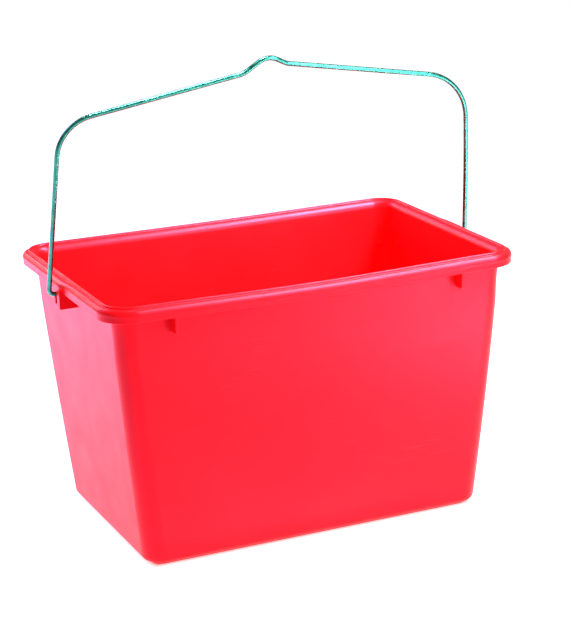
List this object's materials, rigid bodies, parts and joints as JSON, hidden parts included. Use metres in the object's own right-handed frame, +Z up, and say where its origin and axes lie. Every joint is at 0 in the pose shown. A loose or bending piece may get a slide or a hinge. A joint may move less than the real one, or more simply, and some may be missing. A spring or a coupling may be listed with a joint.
{
  "type": "wash bucket",
  "caption": "Rectangular tapered plastic wash bucket with a rolled rim and a swinging bent-wire bail with a raised grip.",
  "frame": {"origin": "middle of the base, on the surface that the bucket stands on", "axes": "+X along the bucket's long side and along the bail's hinge axis, +Y across the bucket towards the back, +Z up; the bail leans 10 degrees towards -Y at rest"},
  "size_m": [0.405, 0.248, 0.4099],
  "materials": {
    "tub_plastic": "satin gloss injection-moulded polypropylene, bright red",
    "bail_wire": "bright zinc-plated drawn wire"
  },
  "bodies": {
    "tub": {"tub": "tub_plastic"},
    "bail": {"bail": "bail_wire"}
  },
  "joints": [
    {"name": "bail_swing", "type": "hinge", "parent": "tub", "child": "bail", "pos_m": [0, 0, 0.2205], "axis": [1, 0, 0], "range_deg": [-144, 124]}
  ]
}
